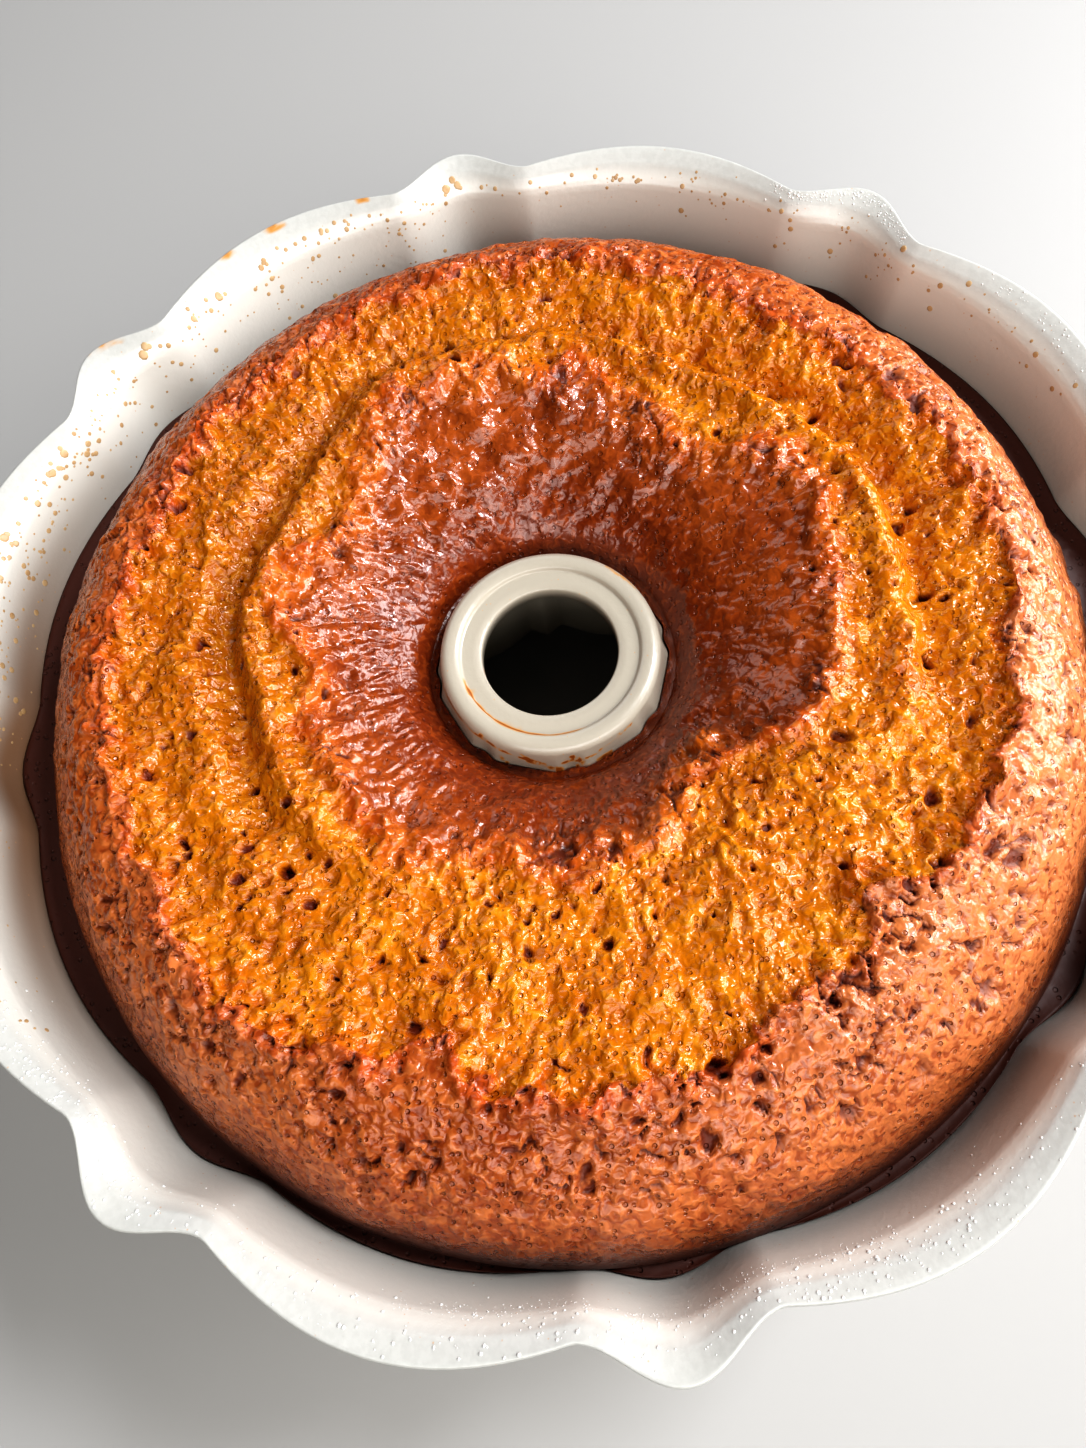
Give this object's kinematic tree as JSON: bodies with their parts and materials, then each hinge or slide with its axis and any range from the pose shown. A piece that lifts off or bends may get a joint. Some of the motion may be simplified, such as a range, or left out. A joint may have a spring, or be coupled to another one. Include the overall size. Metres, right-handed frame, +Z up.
{
  "type": "bundt cake",
  "caption": "Golden ring cake with a browned, cracked dome, baked in and standing in its own cream fluted tube tin.",
  "frame": {"origin": "middle of the tin's base, on the axis of its tube", "axes": "+Z up along the tube, narrow pointed flutes at multiples of 45 degrees from +X, -Y towards the front side of the picture"},
  "size_m": [0.2718, 0.2718, 0.102],
  "materials": {
    "tin": "satin cream non-stick coating with tan speckles",
    "cake": "matte baked crust, moist golden crumb in the crack"
  },
  "bodies": {
    "root": {"tin": "tin", "cake": "cake"}
  },
  "joints": []
}
